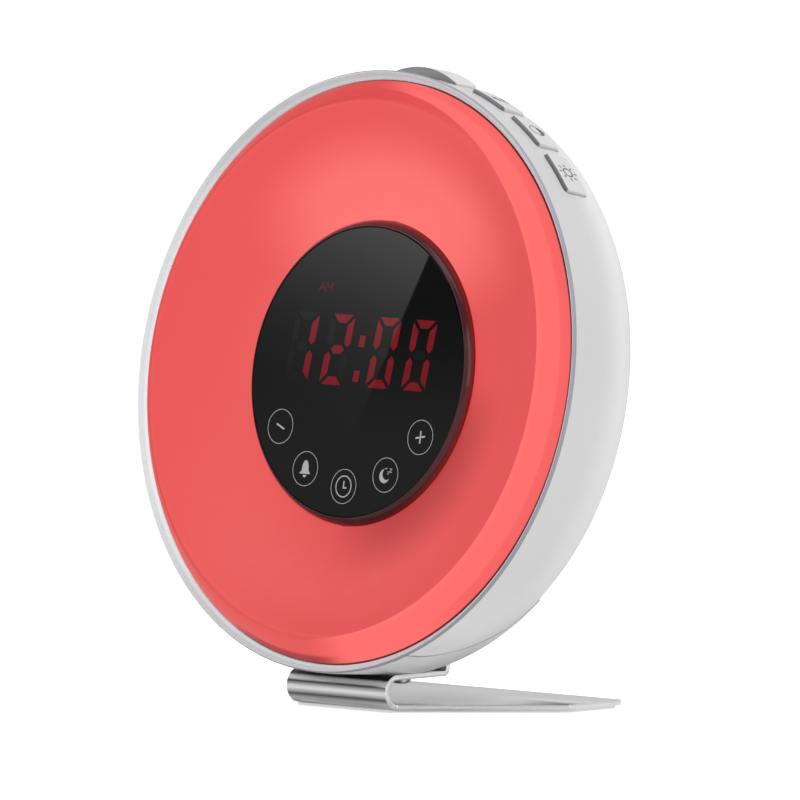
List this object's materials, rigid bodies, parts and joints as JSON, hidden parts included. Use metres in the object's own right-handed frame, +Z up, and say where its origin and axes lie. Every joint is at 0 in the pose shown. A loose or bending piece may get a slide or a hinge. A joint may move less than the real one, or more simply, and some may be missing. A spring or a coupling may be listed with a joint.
{
  "type": "alarm clock",
  "caption": "Round sunrise alarm clock with a dished lit front, a round dark display, keys on the shoulder and a bent sheet stand.",
  "frame": {"origin": "on the table, under the front bend of the stand, in the middle of its width", "axes": "+Z up; the display faces -Y and leans back; +X is to the right of someone who looks at the display"},
  "size_m": [0.17, 0.0717, 0.1789],
  "materials": {
    "housing_white": "satin moulded shell",
    "ring_silver": "pale satin plastic ring with a blue-grey side",
    "diffuser_red": "translucent milky cap, lit red from inside",
    "bezel_smoke": "smoky dark red translucent plastic",
    "glass_black": "polished black window with printed touch icons",
    "segment_red": "lit dark red bars",
    "digit_black": "black digit block",
    "electrode": "printed electrode film",
    "board_green": "circuit board",
    "emitter": "lamp bodies",
    "tray_white": "white reflector tray",
    "black_plastic": "black moulded plastic",
    "speaker_black": "black pressed frame",
    "cone_paper": "thin cone",
    "magnet": "plain magnet",
    "gasket": "foam ring",
    "key_white": "satin keys with printed marks",
    "bracket_white": "moulded carrier",
    "cell_steel": "coin cell can",
    "screw_steel": "screws",
    "stand_steel": "bent stainless sheet, fine polish",
    "pad_grey": "thin anti-slip pad",
    "ribbon": "flat ribbon"
  },
  "bodies": {
    "clock": {"rear_housing": "housing_white", "trim_ring": "ring_silver", "light_diffuser": "diffuser_red", "display_bezel": "bezel_smoke", "display_glass": "glass_black", "segment_lenses": "segment_red", "digit_display": "digit_black", "touch_sheet": "electrode", "display_board": "board_green", "led_board": "board_green", "led_emitters": "emitter", "light_tray": "tray_white", "main_board": "board_green", "main_board_chips": "black_plastic", "dc_jack": "black_plastic", "speaker_frame": "speaker_black", "speaker_cone": "cone_paper", "speaker_magnet": "magnet", "speaker_gasket": "gasket", "switch_bracket": "bracket_white", "tact_switches": "black_plastic", "coin_cell": "cell_steel", "cell_holder": "black_plastic", "battery_door": "housing_white", "battery_door_screw": "screw_steel", "case_screws": "screw_steel", "stand_bracket": "stand_steel", "stand_pad": "pad_grey", "stand_screws": "screw_steel", "ribbon_cable": "ribbon"},
    "snooze": {"snooze_button": "key_white"},
    "sound": {"key_sound": "key_white"},
    "contrast": {"key_contrast": "key_white"},
    "light": {"key_light": "key_white"}
  },
  "joints": [
    {"name": "snooze_press", "type": "slide", "parent": "clock", "child": "snooze", "axis": [-0.0279, -0.1736, -0.9844], "range_m": [0, 0.001], "stiffness_N_per_m": 600, "springref_m": -0.0005},
    {"name": "sound_press", "type": "slide", "parent": "clock", "child": "sound", "axis": [-0.3486, -0.1628, -0.923], "range_m": [0, 0.0006], "stiffness_N_per_m": 600, "springref_m": -0.0005},
    {"name": "contrast_press", "type": "slide", "parent": "clock", "child": "contrast", "axis": [-0.5366, -0.1465, -0.831], "range_m": [0, 0.0006], "stiffness_N_per_m": 600, "springref_m": -0.0005},
    {"name": "light_press", "type": "slide", "parent": "clock", "child": "light", "axis": [-0.7009, -0.1239, -0.7024], "range_m": [0, 0.0006], "stiffness_N_per_m": 600, "springref_m": -0.0005}
  ]
}
